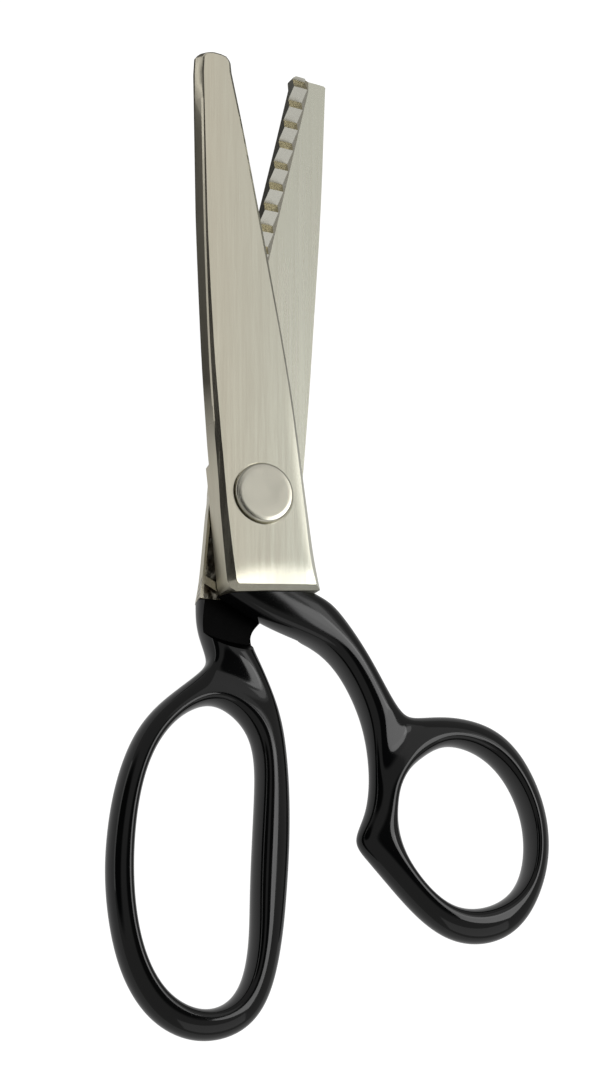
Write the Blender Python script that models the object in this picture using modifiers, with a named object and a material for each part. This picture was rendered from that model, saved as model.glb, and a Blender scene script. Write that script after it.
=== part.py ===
"""Pinking shears: two forged halves with toothed blades and lacquered handles, on a pivot screw.

Units are millimetres in the dimensions below and metres in the finished meshes, +Z up. The
origin is on the pivot axis, in the plane of the screw end and lock nut that the shears lie on.
+Y runs towards the tips. The upper half swings about the pivot over the lower half.
"""
import math

import bmesh
import bpy
from mathutils import Vector

MM = 0.001                 # millimetres to metres
GAP = 0.3                  # clearance between neighbouring pieces

# Heights
MATING_Z = 10.6            # plane where the two halves meet
BODY_GAP = 0.2             # each half stops this far from the mating plane
HEEL_HEIGHT = 8.3          # a blade's outer face above the mating plane, at HEEL_Y
TIP_HEIGHT = 5.0           # the same at the tips
HEEL_Y = -21.0
TIP_Y = 100.0
LIMB_HALF_HEIGHT = 4.7     # half the thickness of the rings
CLEAR = 6.0                # how far a cutter stands out of what it cuts

# Teeth: ridges that run round the pivot, so both blades follow one wave of the radius
TOOTH_PITCH = 5.35
TOOTH_HALF_DEPTH = 1.1
OUTER_CREST_RADIUS = 102.1
TOOTH_COUNT = 17
BAND_WIDTH = 3.4           # width of the toothed band along a cutting edge
RELIEF_DEPTH = 1.9         # how far the blade behind the band stands off the mating plane
FILLET_DEPTH = 1.3         # where the relief's wall turns into its sloped fillet
FILLET_WIDTH = 1.2
BOSS_RADIUS = 13.0         # flat bearing land round the pivot
LAND_FRONT = 3.0           # the heel is flat up to here
TOOTH_SWEEP = (-14.0, 60.0)     # bearings from +Y between which the teeth are cut
RELIEF_SWEEP = -105.0      # bearing at which the relief's arc round the boss starts
CUTTER_HALF_WIDTH = 30.0
CUTTER_FRONT = 112.0
CUTTER_BACK = -40.0

# Pivot
SHANK_RADIUS = 3.0
HEAD_RADIUS = 6.9
HEAD_RISE = 1.3            # head above the upper blade's face
SPOT_DEPTH = 0.5
BUSHING_RADIUS = 4.4
HEAD_WASHER_RADIUS = 5.5
WASHER_THICKNESS = 0.6
THRUST_WASHER_RADIUS = 8.0
THRUST_WASHER_THICKNESS = 0.8
LOCK_WASHER_RADIUS = 6.0
NUT_ACROSS_FLATS = 10.5
NUT_HEIGHT = 2.0
HEAD_CHAMFER = ((0.9, 0.0), (0.3, 0.25), (0.0, 0.7))    # in from the rim, down from the top
ROUND_STEPS = 48
ARC_STEPS = 24
SWEEP_STEPS = 40
HALF_ACROSS_CORNERS = NUT_ACROSS_FLATS / 2.0 / math.cos(math.pi / 6.0)

# Where each blade's plating ends and its lacquered handle starts
STEP_RADIUS = 33.0         # inside this the handles stay on their own side of the mating plane
STEP_SLOPE = 0.55          # radius gained by the step for each millimetre of height
STEP_REACH = 12.0          # how far the step is cut past the mating plane
POCKET_DEPTH = 1.8         # as-forged hollows beside the lower blade's heel

# Spine walls: upright up to a ridge, then leaning in, more towards the tips
SPINE_X = 9.0              # points further out than this, beside the pivot, belong to a spine
SPINE_SLOPE = 0.027        # and the limit grows by this much for each millimetre of y
RIDGE_START_Y = 12.0
RIDGE_SHARE = 0.6          # height of the ridge at the tips, as a share of the wall
RIDGE_FOOT = -0.7          # where it starts, below the mating face
FOOT_SPREAD = 0.45         # how far the wall has leaned in at its top, ahead of the pivot
SPREAD_START_Y = -4.0
SPREAD_LENGTH = 12.0
SPINE_LEAN = 0.65          # and how much more at the tips
RIM_LEAN = 1.5             # the lower blade's rim stands out this much beside the heel
RIM_FADE = 10.0            # it has gone this far ahead of the pivot

# Blade outlines, x, y and the width of the bevel round the outer face
UPPER_EDGE = [(13.8, -20.8, 1.1), (12.4, -13.0, 1.3), (10.5, 0.0, 0.9), (7.0, 26.0, 0.7),
              (2.0, 55.0, 0.7), (-3.5, 84.5, 0.7), (-6.8, 101.0, 0.8)]
UPPER_TIP = [(-7.1, 103.2, 0.6), (-8.2, 104.8, 0.5), (-11.2, 105.4, 0.5), (-14.0, 105.1, 0.4),
             (-15.2, 103.9, 0.4)]
UPPER_SPINE = [(-15.4, 100.0, 0.4), (-15.0, 84.0, 0.5), (-14.35, 60.0, 0.6), (-13.15, 34.0, 0.9),
               (-11.85, 16.0, 1.1), (-11.15, 8.0, 1.15), (-10.35, 1.0, 1.2), (-9.45, -8.0, 1.4),
               (-8.8, -14.5, 1.5), (-8.3, -19.0, 1.6)]
UPPER_HEEL = [(-8.1, -20.8, 1.6), (-7.4, -22.1, 1.5), (-6.1, -22.8, 1.4)]
LOWER_SPINE = [(5.8, -23.2, 0.9), (9.4, -16.0, 1.2), (12.6, 0.0, 1.5), (14.5, 20.0, 1.2),
               (16.2, 45.0, 0.8), (17.9, 75.0, 0.5), (18.9, 101.0, 0.5)]
LOWER_TIP = [(19.0, 103.2, 0.4), (18.6, 103.9, 0.4), (14.6, 104.4, 0.6), (11.1, 104.9, 0.3),
             (10.5, 104.2, 0.4)]
LOWER_EDGE = [(10.1, 102.0, 1.8), (7.1, 88.7, 2.0), (3.6, 73.4, 2.0), (-0.5, 55.0, 2.0),
              (-5.8, 26.1, 2.0), (-8.0, 10.0, 1.9), (-10.0, 0.0, 1.8), (-10.9, -10.0, 1.9),
              (-11.6, -18.0, 1.9), (-12.2, -23.2, 1.3)]
POCKETS = [[(-9.2, -1.8), (-10.0, -9.0), (-10.8, -18.0), (-4.0, -21.6), (-4.0, -1.8)],
           [(-11.0, -19.8), (-11.2, -26.0), (-4.0, -26.0), (-4.0, -23.5)]]

# Ring outlines, each station from the opening's edge to the outer edge. The first, the last and
# the last but one carry the shank.
FINGER_LOOP = [((-14.1, -49.2), (-10.4, -40.6)), ((-19.3, -53.6), (-20.8, -47.7)),
               ((-23.3, -60.0), (-27.1, -56.0)), ((-25.8, -68.1), (-30.9, -66.6)),
               ((-27.0, -77.0), (-32.6, -77.0)), ((-27.2, -86.5), (-33.0, -87.0)),
               ((-26.2, -96.1), (-31.7, -98.0)), ((-23.6, -104.7), (-28.4, -108.7)),
               ((-18.9, -111.4), (-21.9, -117.4)), ((-12.0, -114.5), (-12.2, -121.4)),
               ((-5.6, -113.0), (-2.0, -118.9)), ((-1.4, -107.7), (4.2, -111.2)),
               ((0.3, -99.0), (7.1, -99.5)), ((0.5, -89.0), (8.3, -89.0)),
               ((0.9, -78.0), (9.0, -78.0)), ((1.4, -67.0), (9.0, -67.0)),
               ((1.3, -58.8), (8.2, -57.5)), ((-1.0, -52.0), (5.9, -48.0)),
               ((-7.4, -47.4), (-2.8, -42.4))]
THUMB_RING = [((41.1, -55.8), (39.2, -47.7)), ((47.3, -52.3), (47.3, -45.8)),
              ((55.0, -53.3), (57.4, -47.2)), ((61.3, -57.6), (65.0, -52.9)),
              ((65.4, -64.0), (70.1, -62.4)), ((67.2, -71.0), (71.9, -71.5)),
              ((66.6, -78.8), (71.0, -80.4)), ((62.9, -84.9), (66.9, -89.8)),
              ((56.3, -88.5), (59.9, -95.6)), ((48.9, -88.8), (50.3, -96.7)),
              ((43.0, -85.6), (41.5, -92.4)), ((38.7, -80.9), (33.6, -84.9)),
              ((36.4, -76.7), (28.5, -79.6)), ((35.2, -72.4), (25.3, -75.3)),
              ((34.8, -68.1), (27.9, -69.2)), ((35.4, -63.4), (29.6, -61.4)),
              ((37.4, -59.3), (34.4, -54.0))]

# Section of a limb, as shares of its half width and half height
RING_SHOULDER = 0.74       # where the top turns down
SHANK_SHOULDER = 0.85
HEEL_SHOULDER = 0.95
SHOULDER_DROP = 0.8        # height of the shoulders
CROWN_RISE = 1.05          # the cage stands this much over the smooth surface
SHARP_ANGLE = 35.0
SECTION_POINTS = 8
ROUNDING_LEVEL = 1         # how often the handles' cages are subdivided
CURVE_PULL = 1.0 / 6.0     # share of the bend by which a smoothed curve leaves its control points

# Shanks, each station as left edge, right edge, and how far it reaches above and below the
# mating plane. They run from the heel to the ring.
UPPER_SHANK = [((-8.2, -23.4), (14.2, -21.3), 7.2, 2.0), ((1.0, -28.2), (18.3, -22.6), 7.0, 2.0),
               ((9.6, -30.7), (22.2, -26.6), 6.4, 3.0), ((16.7, -32.8), (25.7, -30.9), 5.8, 4.2),
               ((21.8, -37.2), (29.2, -36.0), 5.2, 4.6), ((25.8, -44.0), (32.7, -41.8), 4.9, 4.7),
               ((28.3, -51.3), (35.6, -45.8), 4.7, 4.7)]
LOWER_SHANK = [((-11.6, -23.5), (5.8, -23.5), 1.5, 7.4), ((-11.8, -27.4), (3.2, -27.5), 2.0, 7.2),
               ((-11.3, -31.4), (-1.0, -31.0), 3.4, 6.4), ((-9.8, -36.2), (1.8, -36.9), 4.6, 5.2)]

UPPER_BODY = ("upper_blade", "upper_handle", "pivot_bushing")


def clear_scene():
    """Remove whatever the file starts with."""
    for obj in list(bpy.data.objects):
        bpy.data.objects.remove(obj)


def new_collection(name):
    collection = bpy.data.collections.new(name)
    bpy.context.scene.collection.children.link(collection)
    return collection


def finish_mesh(name, bm, collection):
    """Turn a bmesh in millimetres into an object in metres."""
    bmesh.ops.recalc_face_normals(bm, faces=bm.faces)
    bmesh.ops.scale(bm, vec=(MM, MM, MM), verts=bm.verts)
    mesh = bpy.data.meshes.new(name)
    bm.to_mesh(mesh)
    bm.free()
    obj = bpy.data.objects.new(name, mesh)
    collection.objects.link(obj)
    return obj


def smooth_line(points, steps=4):
    """A smooth curve through points of any number of coordinates."""
    curve = []
    last = len(points) - 1
    for i in range(last):
        before = points[max(i - 1, 0)]
        start, end = points[i], points[i + 1]
        after = points[min(i + 2, last)]
        for step in range(steps):
            t = step / steps
            curve.append(tuple(
                0.5 * (2 * b + (c - a) * t + (2 * a - 5 * b + 4 * c - d) * t * t
                       + (3 * b - a - 3 * c + d) * t ** 3)
                for a, b, c, d in zip(before, start, end, after)))
    curve.append(points[last])
    return curve


def inset(outline):
    """The outline moved inwards by each point's own bevel width."""
    count = len(outline)
    moved = []
    for i, (x, y, width) in enumerate(outline):
        here = Vector((x, y))
        back = (here - Vector(outline[i - 1][:2])).normalized()
        ahead = (Vector(outline[(i + 1) % count][:2]) - here).normalized()
        normal_1 = Vector((-back.y, back.x))
        normal_2 = Vector((-ahead.y, ahead.x))
        shift = (normal_1 + normal_2) * width / (1.0 + normal_1.dot(normal_2))
        moved.append(here + shift)
    return moved


def loft(name, rings, collection, closed=False):
    """Skin a list of rings with the same number of points, capped unless it closes on itself."""
    bm = bmesh.new()
    rows = [[bm.verts.new(point) for point in ring] for ring in rings]
    size = len(rings[0])
    pairs = list(zip(rows, rows[1:]))
    if closed:
        pairs.append((rows[-1], rows[0]))
    else:
        bm.faces.new(rows[0])
        bm.faces.new(rows[-1])
    for low, high in pairs:
        for i in range(size):
            j = (i + 1) % size
            bm.faces.new((low[i], low[j], high[j], high[i]))
    return finish_mesh(name, bm, collection)


def turned(name, profile, collection, ring=False):
    """Turn a profile of radius and height about the pivot axis with a Screw modifier."""
    bm = bmesh.new()
    verts = [bm.verts.new((radius * MM, 0.0, height * MM)) for radius, height in profile]
    for start, end in zip(verts, verts[1:]):
        bm.edges.new((start, end))
    if ring:
        bm.edges.new((verts[-1], verts[0]))
    mesh = bpy.data.meshes.new(name)
    bm.to_mesh(mesh)
    bm.free()
    obj = bpy.data.objects.new(name, mesh)
    collection.objects.link(obj)
    screw = obj.modifiers.new("turn", "SCREW")
    screw.steps = ROUND_STEPS
    screw.render_steps = ROUND_STEPS
    screw.use_merge_vertices = True
    screw.merge_threshold = 0.00001


def disc(name, radius_low, radius_high, z_low, z_high, collection, segments=ROUND_STEPS):
    """A cylinder or cone about the pivot axis."""
    bm = bmesh.new()
    bmesh.ops.create_cone(bm, cap_ends=True, segments=segments, radius1=radius_low,
                          radius2=radius_high, depth=z_high - z_low)
    bmesh.ops.translate(bm, vec=(0.0, 0.0, (z_low + z_high) / 2.0), verts=bm.verts)
    return finish_mesh(name, bm, collection)


def washer(name, inner, outer, z_low, z_high, collection):
    profile = [(inner, z_high), (outer, z_high), (outer, z_low), (inner, z_low)]
    turned(name, profile, collection, ring=True)


def cut(obj, cutter):
    """Subtract a cutter, and keep it hidden."""
    cutter.hide_render = True
    cutter.display_type = "WIRE"
    modifier = obj.modifiers.new(cutter.name, "BOOLEAN")
    modifier.operation = "DIFFERENCE"
    modifier.object = cutter


def outer_height(y):
    """Height of a blade's outer face above the mating plane."""
    share = (y - HEEL_Y) / (TIP_Y - HEEL_Y)
    return HEEL_HEIGHT + share * (TIP_HEIGHT - HEEL_HEIGHT)


def ridge_share(y):
    """How far the spine's ridge has risen at y: 0 near the pivot, 1 at the tips."""
    return min(max((y - RIDGE_START_Y) / (TIP_Y - RIDGE_START_Y), 0.0), 1.0)


def ridge_height(y):
    """Height of a spine's ridge above the mating plane."""
    return RIDGE_FOOT + (outer_height(y) * RIDGE_SHARE - RIDGE_FOOT) * ridge_share(y)


def lean(x, y, side):
    """How far the far end of a wall lies inside its foot at the mating plane."""
    if side * x < -(SPINE_X + SPINE_SLOPE * y):
        spread = min(max((y - SPREAD_START_Y) / SPREAD_LENGTH, 0.0), 1.0)
        return side * (FOOT_SPREAD * spread + SPINE_LEAN * ridge_share(y))
    on_rim = side < 0.0 and x < 0.0 and y < RIM_FADE
    return RIM_LEAN * min(1.0 - y / RIM_FADE, 1.0) if on_rim else 0.0


def blade_body(name, outline, side, collection):
    """A blade before its mating face is cut. side is +1 for the upper and -1 for the lower."""
    depth = TOOTH_HALF_DEPTH + GAP
    leaned = [(x + lean(x, y, side), y, bevel) for x, y, bevel in outline]
    mating = [(x, y, MATING_Z - side * depth) for x, y, _ in outline]
    ridge = [(x, y, MATING_Z + side * ridge_height(y)) for x, y, _ in outline]
    wall_top = [(x, y, MATING_Z + side * (outer_height(y) - bevel)) for x, y, bevel in leaned]
    face = [(p.x, p.y, MATING_Z + side * outer_height(p.y)) for p in inset(leaned)]
    return loft(name, [mating, ridge, wall_top, face], collection)


def side_label(side):
    return "upper" if side > 0 else "lower"


def wave_profile(side):
    """Section of the tooth cutter, radius and height: the wave, closed on the empty side."""
    far = MATING_Z - side * CLEAR
    level = MATING_Z + side * BODY_GAP
    inner = BOSS_RADIUS - GAP
    first_crest = OUTER_CREST_RADIUS - (TOOTH_COUNT - 1) * TOOTH_PITCH
    start = first_crest - TOOTH_PITCH / 4.0
    points = [(inner, far), (inner, level), (start, level)]
    for tooth in range(TOOTH_COUNT):
        crest = first_crest + tooth * TOOTH_PITCH
        points.append((crest, level + TOOTH_HALF_DEPTH))
        points.append((crest + TOOTH_PITCH / 2.0, level - TOOTH_HALF_DEPTH))
    points.append((points[-1][0] + TOOTH_PITCH / 2.0, level + TOOTH_HALF_DEPTH))
    points.append((points[-1][0], far))
    return points


def tooth_cutter(side, collection):
    """The wave swept round the pivot, over the cutting edge of that side's blade."""
    rings = []
    profile = wave_profile(side)
    first, last = sorted(side * bearing for bearing in TOOTH_SWEEP)
    for step in range(SWEEP_STEPS + 1):
        bearing = math.radians(first + (last - first) * step / SWEEP_STEPS)
        across, along = math.sin(bearing), math.cos(bearing)
        rings.append([(radius * across, radius * along, z) for radius, z in profile])
    return loft(side_label(side) + "_tooth_cutter", rings, collection)


def relief_cutter(edge, side, collection):
    """Clears the blade behind the toothed band, outside the land round the pivot."""
    run = side * FILLET_WIDTH
    band = sorted(((x - side * BAND_WIDTH, y) for x, y, _ in smooth_line(edge)),
                  key=lambda point: point[1])
    line = [(x, y) for x, y in band if y > 0.0 and math.hypot(x - run, y) > BOSS_RADIUS]
    line.append((line[-1][0], CUTTER_FRONT))
    reach = BOSS_RADIUS - BODY_GAP
    first = side * math.radians(RELIEF_SWEEP)
    last = math.atan2(line[0][0] - run, line[0][1])
    arc = []
    for step in range(ARC_STEPS + 1):
        bearing = first + (last - first) * step / ARC_STEPS
        arc.append((reach * math.sin(bearing), reach * math.cos(bearing)))
    far_x = -side * CUTTER_HALF_WIDTH
    corners = [(far_x, CUTTER_FRONT), (far_x, arc[0][1])]
    wall = arc + line + corners
    floor = arc + [(x - run, y) for x, y in line] + corners
    levels = ((wall, -CLEAR), (wall, FILLET_DEPTH), (floor, RELIEF_DEPTH))
    rings = [[(x, y, MATING_Z + side * depth) for x, y in outline] for outline, depth in levels]
    return loft(side_label(side) + "_relief_cutter", rings, collection)


def heel_cutter(side, collection):
    """Cuts the flat land behind the pivot down to the mating plane."""
    outline = [(-CUTTER_HALF_WIDTH, CUTTER_BACK), (CUTTER_HALF_WIDTH, CUTTER_BACK),
               (CUTTER_HALF_WIDTH, LAND_FRONT), (-CUTTER_HALF_WIDTH, LAND_FRONT)]
    levels = (MATING_Z - side * CLEAR, MATING_Z + side * BODY_GAP)
    rings = [[(x, y, z) for x, y in outline] for z in levels]
    return loft(side_label(side) + "_heel_cutter", rings, collection)


def land_cutter(side, collection):
    """Cuts the round land about the pivot down to the mating plane."""
    low, high = sorted((MATING_Z - side * CLEAR, MATING_Z + side * BODY_GAP))
    return disc(side_label(side) + "_land_cutter", BOSS_RADIUS, BOSS_RADIUS, low, high, collection)


def cut_mating_side(blade, edge, side, cutters):
    """Heel land, boss land, relief and teeth."""
    cut(blade, heel_cutter(side, cutters))
    cut(blade, land_cutter(side, cutters))
    cut(blade, relief_cutter(edge, side, cutters))
    cut(blade, tooth_cutter(side, cutters))


def make_upper_blade(parts, cutters):
    outline = (smooth_line(UPPER_EDGE) + smooth_line(UPPER_TIP, 2) + smooth_line(UPPER_SPINE)
               + UPPER_HEEL)
    blade = blade_body("upper_blade", outline, 1.0, parts)
    cut_mating_side(blade, UPPER_EDGE, 1.0, cutters)
    face_z = MATING_Z + outer_height(0.0)
    spot_z = face_z - SPOT_DEPTH
    seat_z = spot_z - WASHER_THICKNESS - GAP
    above = face_z + CLEAR
    for name, radius, low in (("head_spot_cutter", HEAD_RADIUS, spot_z),
                              ("head_washer_seat_cutter", HEAD_WASHER_RADIUS, seat_z),
                              ("bushing_bore_cutter", BUSHING_RADIUS, 0.0)):
        cut(blade, disc(name, radius + GAP, radius + GAP, low, above, cutters))


def pocket_cutters(cutters):
    """Hollows left by forging beside the lower blade's heel."""
    floor = MATING_Z - BODY_GAP - POCKET_DEPTH
    pockets = []
    for number, outline in enumerate(POCKETS, 1):
        rings = [[(x, y, z) for x, y in outline] for z in (floor, MATING_Z + CLEAR)]
        pockets.append(loft(f"pocket_cutter_{number}", rings, cutters))
    return pockets


def make_lower_blade(parts, cutters):
    outline = smooth_line(LOWER_SPINE) + smooth_line(LOWER_TIP, 2) + smooth_line(LOWER_EDGE)
    blade = blade_body("lower_blade", outline, -1.0, parts)
    cut_mating_side(blade, LOWER_EDGE, -1.0, cutters)
    for pocket in pocket_cutters(cutters):
        cut(blade, pocket)
    seat_z = MATING_Z - BODY_GAP - THRUST_WASHER_THICKNESS - GAP
    for name, radius, low, high in (
            ("thrust_seat_cutter", THRUST_WASHER_RADIUS, seat_z, MATING_Z + CLEAR),
            ("screw_bore_cutter", SHANK_RADIUS, -CLEAR, MATING_Z),
            ("nut_spot_cutter", HALF_ACROSS_CORNERS, -CLEAR, nut_seat_height())):
        cut(blade, disc(name, radius + GAP, radius + GAP, low, high, cutters))


def nut_seat_height():
    """Height of the seat that the lock washer lies against, cut into the lower blade."""
    return NUT_HEIGHT + GAP + WASHER_THICKNESS + GAP


def ring_limits(points):
    """Control points whose smooth closed curve passes near the given points."""
    count = len(points)
    moved = []
    for i, point in enumerate(points):
        here = Vector(point)
        bend = Vector(points[i - 1]) - 2.0 * here + Vector(points[(i + 1) % count])
        moved.append(here - bend * CURVE_PULL)
    return moved


def section(left, right, above, below, shoulder):
    """Eight points round a limb, from its left side over the top to the right and back below."""
    middle = (left + right) / 2.0
    swell = 1.0 / (1.0 - 2.0 * CURVE_PULL * (1.0 - shoulder))
    left = middle + (left - middle) * swell
    right = middle + (right - middle) * swell
    left_in = middle + (left - middle) * shoulder
    right_in = middle + (right - middle) * shoulder
    centre_z = MATING_Z + (above - below) / 2.0
    half = (above + below) / 2.0 * CROWN_RISE
    top, bottom = centre_z + half, centre_z - half
    drop = SHOULDER_DROP * half
    side_top, side_bottom = centre_z + drop, centre_z - drop
    return [(*left, centre_z), (*left_in, side_top), (*middle, top), (*right_in, side_top),
            (*right, centre_z), (*right_in, side_bottom), (*middle, bottom), (*left_in, side_bottom)]


def ring_sections(stations):
    inner = ring_limits([station[0] for station in stations])
    outer = ring_limits([station[1] for station in stations])
    return [section(a, b, LIMB_HALF_HEIGHT, LIMB_HALF_HEIGHT, RING_SHOULDER)
            for a, b in zip(inner, outer)]


def shank_sections(stations):
    sections = []
    for index, (left, right, above, below) in enumerate(stations):
        shoulder = SHANK_SHOULDER if index else HEEL_SHOULDER
        sections.append(section(Vector(left), Vector(right), above, below, shoulder))
    return sections


def handle_cage(name, ring, shank, shank_left, parts):
    """A ring with a shank growing out of its outer side, as one coarse cage.

    The ring's first and last stations and the one between them open towards the shank.
    shank_left is the index of the station that meets the shank's left side.
    """
    bm = bmesh.new()
    rows = [[bm.verts.new(point) for point in points] for points in ring_sections(ring)]
    count = len(rows)
    mouth = count - 1
    for i in range(count):
        here, there = rows[i], rows[(i + 1) % count]
        for j in range(SECTION_POINTS):
            open_side = j in (3, 4) and i in (mouth - 1, mouth)
            if not open_side:
                k = (j + 1) % SECTION_POINTS
                bm.faces.new((here[j], here[k], there[k], there[j]))
    ends = (rows[0], rows[mouth - 1])
    left_row = ends[shank_left]
    right_row = ends[1 - shank_left]
    middle_row = rows[mouth]
    bm.verts.remove(middle_row[4])
    root = [left_row[4], left_row[3], middle_row[3], right_row[3],
            right_row[4], right_row[5], middle_row[5], left_row[5]]
    stations = [[bm.verts.new(point) for point in points] for points in shank_sections(shank)]
    chain = stations + [root]
    for here, there in zip(chain, chain[1:]):
        for j in range(SECTION_POINTS):
            k = (j + 1) % SECTION_POINTS
            bm.faces.new((here[j], here[k], there[k], there[j]))
    heel = bm.faces.new(stations[0])
    crease = bm.edges.layers.float.new("crease_edge")
    for edge in heel.edges:
        edge[crease] = 1.0
    obj = finish_mesh(name, bm, parts)
    subdivision = obj.modifiers.new("round", "SUBSURF")
    subdivision.levels = ROUNDING_LEVEL
    subdivision.render_levels = ROUNDING_LEVEL
    return obj


def step_cutter(side, collection):
    """Keeps a handle on its own side of the mating plane close to the pivot."""
    near = MATING_Z + side * BODY_GAP
    far = MATING_Z - side * STEP_REACH
    wide = STEP_RADIUS + STEP_SLOPE * STEP_REACH
    name = side_label(side) + "_step_cutter"
    if side > 0:
        return disc(name, wide, STEP_RADIUS, far, near, collection, 2 * ROUND_STEPS)
    return disc(name, STEP_RADIUS, wide, near, far, collection, 2 * ROUND_STEPS)


def make_handles(parts, cutters):
    upper = handle_cage("upper_handle", THUMB_RING, UPPER_SHANK, 1, parts)
    cut(upper, step_cutter(1.0, cutters))
    lower = handle_cage("lower_handle", FINGER_LOOP, LOWER_SHANK, 0, parts)
    cut(lower, step_cutter(-1.0, cutters))


def make_pivot_screw(parts):
    face_z = MATING_Z + outer_height(0.0)
    low = face_z - SPOT_DEPTH + GAP
    high = face_z + HEAD_RISE
    rim = [(HEAD_RADIUS - inwards, high - down) for inwards, down in HEAD_CHAMFER]
    shank = [(HEAD_RADIUS, low), (SHANK_RADIUS, low), (SHANK_RADIUS, 0.0), (0.0, 0.0)]
    turned("pivot_screw", [(0.0, high)] + rim + shank, parts)


def make_pivot_bushing(parts):
    """A flangeless sleeve in the upper blade's bore, round the screw."""
    low = MATING_Z + GAP
    high = MATING_Z + outer_height(0.0) - SPOT_DEPTH - WASHER_THICKNESS - 2.0 * GAP
    washer("pivot_bushing", SHANK_RADIUS + GAP, BUSHING_RADIUS, low, high, parts)


def make_washers(parts):
    bore = SHANK_RADIUS + GAP
    head_low = MATING_Z + outer_height(0.0) - SPOT_DEPTH - WASHER_THICKNESS
    washer("head_washer", bore, HEAD_WASHER_RADIUS, head_low, head_low + WASHER_THICKNESS, parts)
    thrust_high = MATING_Z - BODY_GAP
    thrust_low = thrust_high - THRUST_WASHER_THICKNESS
    washer("thrust_washer", bore, THRUST_WASHER_RADIUS, thrust_low, thrust_high, parts)
    lock_low = NUT_HEIGHT + GAP
    lock_high = lock_low + WASHER_THICKNESS
    washer("lock_washer", bore, LOCK_WASHER_RADIUS, lock_low, lock_high, parts)


def make_lock_nut(parts, cutters):
    nut = disc("lock_nut", HALF_ACROSS_CORNERS, HALF_ACROSS_CORNERS, 0.0, NUT_HEIGHT, parts, 6)
    bore = SHANK_RADIUS + GAP
    cut(nut, disc("nut_bore_cutter", bore, bore, -CLEAR, NUT_HEIGHT + CLEAR, cutters))


def finish(name, colour, roughness, metallic=1.0):
    material = bpy.data.materials.new(name)
    material.use_nodes = True
    shader = material.node_tree.nodes["Principled BSDF"]
    shader.inputs["Base Color"].default_value = (*colour, 1.0)
    shader.inputs["Roughness"].default_value = roughness
    shader.inputs["Metallic"].default_value = metallic
    return material


def give_materials():
    """One material for each piece: its colour, roughness and metallic value."""
    nickel = (0.56, 0.54, 0.46)
    bronze = (0.62, 0.42, 0.18)
    black = (0.006, 0.006, 0.006)
    finishes = {
        "upper_blade": (nickel, 0.35, 1.0),
        "lower_blade": (nickel, 0.38, 1.0),
        "upper_handle": (black, 0.12, 0.0),
        "lower_handle": (black, 0.12, 0.0),
        "pivot_screw": (nickel, 0.3, 1.0),
        "pivot_bushing": (bronze, 0.4, 1.0),
        "head_washer": (bronze, 0.4, 1.0),
        "thrust_washer": (bronze, 0.4, 1.0),
        "lock_washer": ((0.4, 0.4, 0.4), 0.4, 1.0),
        "lock_nut": (nickel, 0.35, 1.0),
    }
    for name, (colour, roughness, metallic) in finishes.items():
        mesh = bpy.data.objects[name].data
        mesh.materials.append(finish(name + "_finish", colour, roughness, metallic))


def parent_halves(parts):
    """Both halves hang on empties on the pivot axis, which is where the upper one turns."""
    lower = bpy.data.objects.new("lower_half", None)
    upper = bpy.data.objects.new("upper_half", None)
    pieces = list(parts.objects)
    for empty in (lower, upper):
        parts.objects.link(empty)
    for piece in pieces:
        piece.parent = upper if piece.name in UPPER_BODY else lower


def shade(parts):
    """Round pieces are smooth, with their real edges kept sharp."""
    for piece in parts.objects:
        if piece.type == "MESH":
            piece.data.shade_smooth()
            piece.data.set_sharp_from_angle(angle=math.radians(SHARP_ANGLE))


def main():
    clear_scene()
    parts = new_collection("pinking_shears")
    cutters = new_collection("cutters")
    make_upper_blade(parts, cutters)
    make_lower_blade(parts, cutters)
    make_handles(parts, cutters)
    make_pivot_screw(parts)
    make_pivot_bushing(parts)
    make_washers(parts)
    make_lock_nut(parts, cutters)
    give_materials()
    shade(parts)
    parent_halves(parts)


main()
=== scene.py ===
"""The looks of the pinking shears: nickel blades and lacquered handles round the CAD frame.

The dimensions below are millimetres in the part's own frame, unless they say otherwise: the
origin is on the pivot axis in the plane that the shears lie on, +Y runs to the tips and +Z up
the pivot. Meshes are metres.
"""
import math

import bmesh
import bpy
from mathutils import Matrix, Vector, noise


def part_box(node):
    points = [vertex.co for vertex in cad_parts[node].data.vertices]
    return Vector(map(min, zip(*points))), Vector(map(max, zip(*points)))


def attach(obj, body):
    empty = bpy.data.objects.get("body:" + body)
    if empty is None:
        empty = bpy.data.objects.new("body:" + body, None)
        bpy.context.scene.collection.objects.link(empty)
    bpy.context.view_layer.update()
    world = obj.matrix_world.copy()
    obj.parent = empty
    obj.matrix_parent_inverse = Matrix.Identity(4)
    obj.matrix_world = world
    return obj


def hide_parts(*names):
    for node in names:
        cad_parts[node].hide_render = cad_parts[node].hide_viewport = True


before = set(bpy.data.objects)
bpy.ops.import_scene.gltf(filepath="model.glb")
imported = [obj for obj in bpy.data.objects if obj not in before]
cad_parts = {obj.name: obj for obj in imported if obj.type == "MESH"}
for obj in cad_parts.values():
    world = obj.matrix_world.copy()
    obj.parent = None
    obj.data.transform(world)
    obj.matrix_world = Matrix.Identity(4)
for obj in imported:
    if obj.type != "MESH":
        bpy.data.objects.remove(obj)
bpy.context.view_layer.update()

MM = 0.001                 # millimetres to metres
GAP = 0.3                  # clearance between neighbouring pieces
MERGE = 0.001              # points closer than this are one

# Heights and sizes, from the frame
MATING_Z = (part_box("upper_blade")[0].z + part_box("lower_blade")[1].z) / 2.0 / MM
HEAD_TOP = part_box("pivot_screw")[1].z / MM
HEAD_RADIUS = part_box("pivot_screw")[1].x / MM
BODY_GAP = 0.2             # each half stops this far from the mating plane
LIMB_HALF_HEIGHT = 4.7     # half the thickness of the rings
STEP_RADIUS = 33.0         # inside this the handles stay on their own side of the mating plane
STEP_SLOPE = 0.55          # radius gained by the step for each millimetre of height
STEP_REACH = 12.0          # how far the step is cut past the mating plane
STEP_SEGMENTS = 256

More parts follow.
